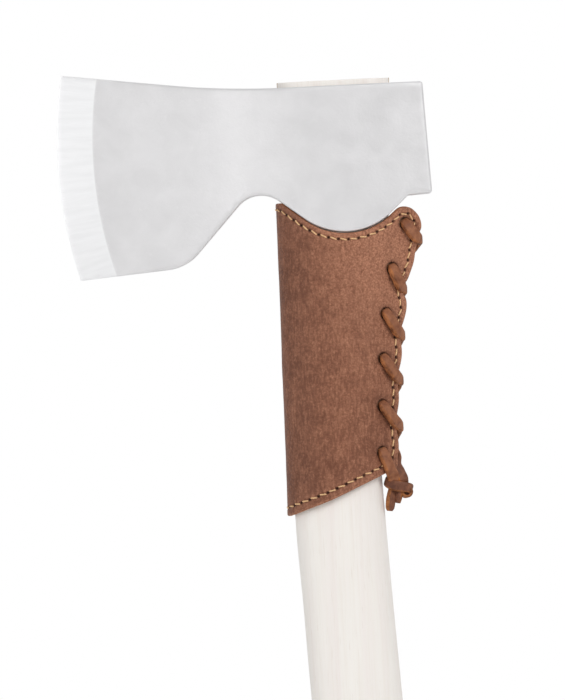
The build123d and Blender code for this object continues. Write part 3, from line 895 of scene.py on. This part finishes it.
class Layer:
    """One layer of the guard: its outline on the pattern, its seam, its holes and its relief."""

    def __init__(self, lift, flap, tuck=0.0, hole_size=HOLE_SIZE, hole_shift=(0, 0), hole_shade_reach=0.45):
        self.hole_size, self.hole_shade_reach = np.array(hole_size), hole_shade_reach
        self.sleeve = Sleeve(lift, flap)
        self.outline = inset(self.pattern_outline(), tuck)
        near = self.sleeve.pattern(np.array(LACE_HOLES) + hole_shift)
        self.holes = np.vstack((near, near * (-1, 1) + FAR_HOLE_SHIFT))
        line = self.beside_edge(-tuck)
        self.punctures = evenly(line, STITCH_PITCH)
        self.seam = evenly(line, 0.5)
        self.strands = [self.sleeve.pattern(strand) for strand in zip(LACE_HOLES, STRAND_ENDS)]
        for (x, h), hole in zip(EDGE_CROSSINGS, LACE_HOLES[1:]):
            self.strands.append(self.sleeve.pattern([(x, h - 1.4), hole]) * (-1, 1))

    def beside_edge(self, more):
        """A line inside the outline, more than the seam's distance from it."""
        low = ease(-158, -168, self.outline[:, 1])
        wanted = SEAM_INSET + (SEAM_LOW_INSET - SEAM_INSET) * low + more
        line = inset(self.outline, wanted)
        return line[clearance(line, self.outline) > wanted - 0.06]

    def pattern_outline(self):
        """The whole layer's outline on the pattern, closed and anticlockwise, near side and far."""
        low_x, low_h, _ = GUARD_CORNERS[-1]
        start = (GUARD_FRONT, GUARD_CORNERS[0][1], 0)
        end = (GUARD_FRONT, low_h + GUARD_SLOPE * (GUARD_FRONT - low_x), 0)
        line = evenly(rounded([start, *GUARD_CORNERS, end], 0.1), 0.05, closed=False)
        x, h = line[:, 0], line[:, 1]
        back = (x > 17) & (h < -64)
        wave = SCALLOP * np.cos(math.tau * (h - SCALLOP_H) / SCALLOP_PITCH)
        x = np.where(back, x + wave * ease(-68, -76, h) * ease(-162, -157, h), x)
        for edge_x, edge_h in EDGE_CROSSINGS:
            held = edge_x + EDGE_PULL
            x = np.where(back & (x > held), x + (held - x) * hump(h - edge_h + 0.7, 2.8), x)
        line = np.column_stack((x, h))
        apex = self.sleeve.place(np.column_stack((h * 0, h)))[:, 0]
        near = self.sleeve.pattern(line[x > apex + 0.002])
        near = np.vstack(((0, near[0, 1]), near, (0, near[-1, 1])))
        near = evenly(near, 0.7, closed=False)
        return np.vstack((near[::-1][:-1], (near * (-1, 1))[:-1]))

    def relief(self, spots):
        """The face's rise at pattern points, its painted shade, and how pale it is there, partly
        painted light.
        """
        edge = clearance(spots, self.outline)
        seam = clearance(spots, self.seam)
        pit = nearest(spots, self.punctures)
        rounder = (1, self.hole_size[0] / self.hole_size[1])
        hole = np.maximum(nearest(spots * rounder, self.holes * rounder) - self.hole_size[0], 0)
        under = [clearance(spots, strand) for strand in self.strands]
        place = self.sleeve.place(spots)
        rise = (0.16 * ripple(place, 21.0, 3) + 0.06 * ripple(place, 6.0, 8)) * ease(0, 4, edge)
        rise += 0.14 * hump(edge - 1.6, 1.1)
        rise -= SEAM_SINK * hump(seam, 0.55) + PIT_SINK * hump(pit, 0.45)
        rise -= HOLE_SINK * hump(hole, 1.3, 1)
        # Painted shade in the stitch pits, along the seam's channel and round the holes.
        dark = hump(pit, 0.62, 4) + 0.16 * hump(seam, 0.45) + 0.85 * hump(hole, self.hole_shade_reach, 1)
        # Painted shade on the front fold.
        dark += FOLD_SHADE * ease(34, 8, abs(spots[:, 0]))
        # Painted shadow beside and under the lace strands.
        for strand in under:
            rise -= LACE_SINK * hump(strand, 2.4)
            dark += 0.28 * hump(strand, 3.0)
        rise -= rounding(edge, RIM_ROUND)
        rise -= rounding(hole, HOLE_ROUND)
        # Paler along the rounded edge and beside the seam; towards the upper back the paleness is
        # painted light.
        light = 0.8 * hump(edge - 0.5, 0.45) + 0.35 * hump(seam - 1.3, 0.6)
        light += 0.95 * ease(-140, -70, spots[:, 1]) * ease(14, 50, abs(spots[:, 0]))
        return rise, np.clip(dark, 0, 1), np.clip(light, 0, 1)

    def face(self, spots, lift=0.0):
        """Points on the outer face, or above it by lift."""
        rise = self.relief(spots)[0] + lift
        return self.sleeve.place(spots) + self.sleeve.normal(spots) * np.asarray(rise)[:, None]

    def mesh(self, name, thick, step, fine=False):
        """The layer as a sheet of leather, with its cut edges rough; fine makes room for stitches."""
        turn = np.linspace(0, math.tau, 26, endpoint=False)
        oval = arc(turn) * self.hole_size
        extra = []
        for d in (0.12, 0.3, 0.6, 1.0):
            ring = inset(self.outline, d)
            extra.append(ring[clearance(ring, self.outline) > d - 0.03])
        extra += [oval * grow + hole for hole in self.holes for grow in (1.1, 1.3, 1.65)]
        spread = honeycomb(self.outline, step)
        spread = spread[within(spread, self.outline)]
        spread = spread[clearance(spread, self.outline) > 1.3]
        spread = spread[nearest(spread, self.holes) > 1.75 * HOLE_SIZE[1]]
        if fine:
            for d in (-0.9, -0.5, -0.25, 0, 0.25, 0.5, 0.9):
                extra.append(evenly(self.beside_edge(d), 0.45))
            few = arc(turn[::4])
            extra += [few * radius + pit for pit in self.punctures for radius in (0.05, 0.3, 0.6)]
            spread = spread[clearance(spread, self.seam) > 1.2]
        rings = [self.outline, *[oval + hole for hole in self.holes]]
        flat, faces, loops = fill(rings, np.vstack((spread, *extra)))
        rise, dark, light = self.relief(flat)
        base, normal = self.sleeve.place(flat), self.sleeve.normal(flat)
        edge = clearance(flat, self.outline)
        outer = base + normal * rise[:, None]
        inner = base - normal * (thick - 0.3 * np.exp(-edge / 0.25))[:, None]
        sheet = Stack("dark", "light", "raw")
        top = sheet.add(outer, dark, light, ease(0.16, 0.05, edge) * 0.8)
        under = sheet.add(inner, 0, 0, 0)
        sheet.faces += [tuple(top[face]) for face in faces]
        sheet.faces += [tuple(under[face[::-1]]) for face in faces]
        for loop in loops:
            ring, shade = top[loop], 0.0 if loop is loops[0] else 0.7
            for k in (1, 2, 3):
                points = outer[loop] + (inner[loop] - outer[loop]) * k / 4
                frayed = 0.09 * ripple(points, 0.9, k)
                points = points + unit(points - base[loop]) * frayed[:, None]
                ring = sheet.join(ring, sheet.add(points, shade, 0, 1))
            sheet.join(ring, under[loop])
        return sheet.piece(name)


LINING_LIFT = HAFT_GAP + LINING_THICK
SKIN_LIFT = LINING_LIFT + SKIN_GAP + LEATHER_THICK
LINING_FLAP = FLAP_GAP / 2 + LINING_THICK
SKIN_FLAP = LINING_FLAP + SKIN_GAP + LEATHER_THICK


def make_guard():
    outer = Layer(SKIN_LIFT, SKIN_FLAP)
    paint = leather("guard_leather", tone(114, 67, 45), tone(138, 87, 63), tone(192, 133, 103),
                    tone(182, 116, 72))
    obj = outer.mesh("guard_leather", LEATHER_THICK, 1.25, fine=True)
    finished(obj, [paint], "guard_leather", "guard_outer", degrees=60)
    # The lining's holes get painted shade that reaches far round them.
    lining = Layer(LINING_LIFT, LINING_FLAP, 0.35, LINING_HOLE, LINING_HOLE_SHIFT, 3.0)
    paint = leather("lining_leather", tone(150, 104, 74), tone(170, 122, 88), tone(196, 150, 112),
                    tone(186, 128, 86))
    obj = lining.mesh("guard_lining_leather", LINING_THICK, 2.0)
    finished(obj, [paint], "lining_leather", "guard_lining", degrees=60)
    return outer


# ---- thread ------------------------------------------------------------------------------------
def stitch_rings(layer, start, end, lean):
    """The rings of one stitch, which leans across the seam and dips in at both ends."""
    run = unit(end - start)
    aside = np.array((-run[1], run[0])) * lean
    share = np.linspace(0.16, 0.84, 9)
    bow = np.sin(math.pi * (share - 0.16) / 0.68)
    spots = start + (end - start) * share[:, None] + aside * (share[:, None] - 0.5) * 2
    centres = layer.face(spots, 0.02 + STITCH_BOW * bow**0.7)
    normals = layer.sleeve.normal(spots)
    along = unit(np.gradient(centres, axis=0))
    across = unit(np.cross(along, normals))
    radius = THREAD_THIN + THREAD_GROWS * np.minimum(1, 3.0 * bow)
    turn = np.linspace(0, math.tau, 10, endpoint=False)
    ring = across[:, None] * np.cos(turn)[:, None] * 1.12
    ring = ring + normals[:, None] * np.sin(turn)[:, None] * 0.92
    return centres[:, None] + ring * radius[:, None, None]


def seam_of(layer, p, h):
    """Which seam a stitch at a pattern point belongs to."""
    x = layer.sleeve.place(np.array([(p, h)]))[0, 0]
    (back_x, back_h, _), (low_x, low_h, _) = GUARD_CORNERS[-2:]
    slope = GUARD_SLOPE if x < low_x else (back_h - low_h) / (back_x - low_x)
    if h < low_h + slope * (x - low_x) + 1.5 * SEAM_LOW_INSET:
        return "seam_bottom"
    backs = np.array([corner[:2] for corner in GUARD_CORNERS[BACK_CORNERS]])[::-1]
    if h < -57 and x > np.interp(h, backs[:, 1], backs[:, 0]) - 2 * SEAM_INSET:
        return "seam_back_near" if p > 0 else "seam_back_far"
    return "seam_top"


def make_seams(layer):
    paint = sewing_thread()
    seams, uvs = {}, {}
    for k, (start, end) in enumerate(zip(layer.punctures, np.roll(layer.punctures, -1, 0))):
        name = seam_of(layer, *(start + end) / 2)
        seam = seams.setdefault(name, Stack())
        lean = STITCH_LEAN + STITCH_WANDER * math.sin(k * 2.4)
        points, faces, uv, _ = skin(stitch_rings(layer, start, end, lean))
        new = seam.add(points)
        seam.faces += [[new[i] for i in face] for face in faces]
        uvs.setdefault(name, []).extend(uv)
    for name, seam in sorted(seams.items()):
        obj = seam.piece(name.replace("seam", "thread"), uvs[name])
        finished(obj, [paint], "thread", name, degrees=70)


# ---- lace and its knot -------------------------------------------------------------------------
def strap_section():
    """A strap's flat section, as shares of its half width and of its half thickness."""
    turn = np.linspace(0, math.tau, STRAP_AROUND, endpoint=False) + math.pi / STRAP_AROUND
    across, through = np.cos(turn), np.sin(turn)
    return np.sign(across) * abs(across) ** 0.5, np.sign(through) * abs(through) ** 0.62


def strap_rings(controls, steps):
    """Rings of a strap through controls: its middle, width direction, half width and thickness."""
    controls = np.array(controls, float)
    controls[:, 3:6] = unit(controls[:, 3:6])
    line = catmull(controls, steps)
    centres, wide, half, thick = line[:, :3], line[:, 3:6], line[:, 6:7], line[:, 7:8]
    along = unit(np.gradient(centres, axis=0))
    wide = unit(wide - along * (wide * along).sum(1, keepdims=True))
    up = np.cross(along, wide)
    across, through = strap_section()
    uneven = 1 + 0.06 * ripple(centres, 3.5, 5)[:, None]
    ring = (wide * half * uneven)[:, None] * across[:, None]
    return centres[:, None] + ring + (up * thick)[:, None] * through[:, None]


def strap(name, rings, materials, *nodes, closed=False):
    """A strap with its smooth face on the outside, and its cut edges and back rough."""
    points, faces, uv, place = skin(rings, closed)
    smooth_face = (place >= 1) & (place <= STRAP_AROUND // 2 - 5)
    obj = piece(name, points, faces, uv, ~smooth_face)
    bumps = 0.05 * ripple(points, 1.3, 6) + 0.09 * ripple(points, 4.0, 2)
    middles = np.repeat(rings.mean(1), rings.shape[1], axis=0)
    points = points + unit(points - middles) * bumps[:, None]
    obj.data.vertices.foreach_set("co", row(points).ravel())
    return finished(obj, materials, "lace_leather", *nodes, degrees=65)


def make_lace(layer, materials):
    """One thong: out of each hole, down over the back edges, and into the next on the far side."""
    controls = []

    def face_y(x, h):
        return -layer.face(layer.sleeve.pattern([(x, h)]))[0, 1]

    def through(middle, wide, half=LACE_HALF_WIDTH, thick=LACE_HALF_THICK):
        controls.append((*middle, *wide, half, thick))

    first_x, first_h = LACE_HOLES[0]
    through((first_x - 0.5, 0.6, first_h + 0.6), (0.3, 0, 1), 1.8, 1.0)
    for (x, h), (end_x, end_h), next_hole, roll in zip(
            LACE_HOLES, STRAND_ENDS, [*LACE_HOLES[1:], None], LACE_ROLLS):
        length = math.dist((x, h), (end_x, end_h))
        way = np.array((end_x - x, 0, end_h - h)) / length
        upper = np.array((-way[2], 0, way[0]))
        rolled = upper * math.cos(roll) + (0, math.sin(roll), 0)
        raised = 0.5 * LACE_HALF_THICK + 0.5 * LACE_HALF_WIDTH * math.sin(roll)
        start = np.array((x, 0, h))
        through(start - way * 0.9 + (0, 0.9 - face_y(x, h), 0), upper + (0, 0.3, 0), 1.8)
        for share, lift, wider in ((0.09, 0.2, 0.97), (0.4, 0.75, 1.04), (0.75, 0.75, 1.04)):
            at = start + way * length * share
            above = face_y(at[0], at[2]) + lift + raised
            through(at - (0, above, 0), rolled, LACE_HALF_WIDTH * wider)
        if next_hole is None:  # the lace goes down into its knot
            through((end_x, -4.2, end_h), upper, 2.5, 1.05)
            through((end_x + 0.6, -2.4, end_h - 3.4), (1, 0, 0.3), 2.1, 1.0)
            through((end_x + 0.9, -1.4, end_h - 6.0), (1, 0, 0.2), 1.6, 0.9)
            break
        through((end_x + 0.1, -3.5, end_h + 0.4), (0.5, 0.4, 1), 2.35)
        through((end_x + 0.9, -0.3, end_h - 0.5), (0, 0.3, 1), 2.15)
        through((end_x - 0.1, 3.2, end_h - 1.3), (-0.1, 0, 1), 2.3)
        next_x, next_h = next_hole
        back = np.array((next_x - end_x, 0, next_h - end_h + 2.0))
        upper = unit(np.array((back[2], 0, -back[0])))
        for share, lift in ((0.4, 1.65), (0.75, 1.4)):
            at = back * share + (end_x, 0, end_h - 2.0)
            through(at + (0, face_y(at[0], at[2]) + lift, 0), upper)
        inner = face_y(next_x, next_h) - 0.9
        through((next_x + 0.7, inner, next_h + 0.2), (-0.2, 0, 1), 1.95, 1.25)
        through((next_x + 0.7, 0.0, next_h - 0.3), (0.05, 0, 1), 1.85)
    strap("lace_thong", strap_rings(controls, 9), materials, "lace")


def make_knot(materials):
    """The knot: a turn round the lace's two parts, and three cut tails below it."""
    way, near = unit(KNOT_WAY), np.array((0, -1.0, 0))
    upper = np.cross(near, way)
    across, through = strap_section()
    rings = []
    for turn in np.linspace(0, math.tau, 56, endpoint=False):
        out = way * math.cos(turn) * KNOT_DEEP + near * math.sin(turn) * KNOT_LONG
        centre = way * math.cos(turn) * KNOT_LONG + near * math.sin(turn) * KNOT_DEEP
        centre = KNOT_CENTRE + centre + upper * 0.5 * math.sin(turn * 2 + 0.6)
        half = 2.35 - 0.3 * abs(math.cos(turn))
        rings.append(centre + upper * half * across[:, None] + unit(out) * 1.05 * through[:, None])
    strap("lace_knot_turn", np.array(rings), materials, "lace_knot", closed=True)
    for name, controls in KNOT_PARTS.items():
        strap(name, strap_rings(controls, 8), materials, "lace_knot")


# ---- the whole hatchet -------------------------------------------------------------------------
make_head()
make_haft()
for wedge, paint in (
    ("eye_wedge", end_wood("wedge_end", tone(216, 190, 152), tone(190, 158, 118), tone(158, 126, 90))),
    ("ring_wedge", machined_steel("ring_steel", tone(176, 176, 178), tone(216, 216, 218), 0.3)),
):
    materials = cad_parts[wedge].data.materials
    materials.clear()
    materials.append(paint)
guard = make_guard()
make_seams(guard)
lace_paints = [
    lace_leather("lace_smooth", tone(126, 76, 52), tone(166, 110, 78), False),
    lace_leather("lace_rough", tone(96, 52, 28), tone(184, 116, 70), True),
]
make_lace(guard, lace_paints)
# The knot's leather is the lace's, painted darker: painted shade where it hangs below the guard.
make_knot([
    lace_leather("knot_smooth_shaded", tone(98, 58, 42), tone(140, 92, 68), False),
    lace_leather("knot_rough_shaded", tone(92, 50, 26), tone(182, 116, 66), True),
])


# ---- floor, light and camera -------------------------------------------------------------------
def make_floor():
    mesh = bpy.data.meshes.new("floor")
    bm = bmesh.new()
    bmesh.ops.create_circle(bm, cap_ends=True, radius=1.9, segments=96)
    bm.to_mesh(mesh)
    bm.free()
    floor = placed("floor", mesh)
    floor.location.z = cad_box[0].z
    paint = Paint("floor_paper", tone(240, 240, 240), {"Metallic": 0.0, "Roughness": 0.9})
    paint.lay(paint.noise(paint.place, 0.02, 3), tone(246, 246, 246))
    mesh.materials.append(paint.done())


def make_light(name, at, size, power):
    """A round lamp aimed at the middle of the hatchet."""
    lamp = bpy.data.lights.new(name, "AREA")
    lamp.shape, lamp.size, lamp.energy = "DISK", size, power
    obj = placed(name, lamp)
    obj.location = at
    obj.rotation_euler = (Vector((0, 0, 0.3)) - Vector(at)).to_track_quat("-Z", "Y").to_euler()


def make_world(front, back, sky):
    """Even light that grows from the front to the back, and the plain sky that the camera sees."""
    world = bpy.data.worlds.new("studio")
    bpy.context.scene.world = world
    nodes = Nodes(world)
    white = (1, 1, 1, 1)
    y = nodes.add("SeparateXYZ", {0: nodes.add("TexCoord").outputs["Generated"]}).outputs[1]
    strength = nodes.add("MapRange", {0: y, 1: -0.5, 2: 0.9, 3: front, 4: back}).outputs[0]
    room = nodes.add("Background", {"Color": white, "Strength": strength}).outputs[0]
    seen = nodes.add("Background", {"Color": white, "Strength": sky}).outputs[0]
    share = nodes.add("LightPath").outputs["Is Camera Ray"]
    chosen = nodes.add("MixShader", {0: share, 1: room, 2: seen}).outputs[0]
    nodes.add("OutputWorld", {0: chosen})


def make_camera():
    aim = Vector((-26.7 * MM, 0, 278 * MM))
    away, shown, lean = 5.0, 294 * MM, math.radians(2.8)
    camera = bpy.data.cameras.new("camera")
    camera.sensor_fit, camera.sensor_width, camera.sensor_height = "AUTO", 36, 36
    camera.lens = 36 * away / shown
    obj = placed("camera", camera)
    right = Vector((math.cos(lean), 0, -math.sin(lean)))
    up = Vector((math.sin(lean), 0, math.cos(lean)))
    turn = Matrix((right, up, right.cross(up))).transposed()
    obj.matrix_world = Matrix.Translation(aim + Vector((0, -away, 0))) @ turn.to_4x4()
    bpy.context.scene.camera = obj


make_floor()
make_world(0.43, 0.68, 1.0)
make_light("key", (0.9, -1.3, 1.25), 0.9, 12)
make_light("fill", (-1.3, -1.2, 0.6), 1.1, 6)
make_light("bevel", (-1.05, -2.7, 0.45), 1.0, 1.9)
make_light("back", (0.4, 1.5, 1.3), 0.9, 3.5)
make_camera()
bpy.context.scene.view_settings.view_transform = "Standard"
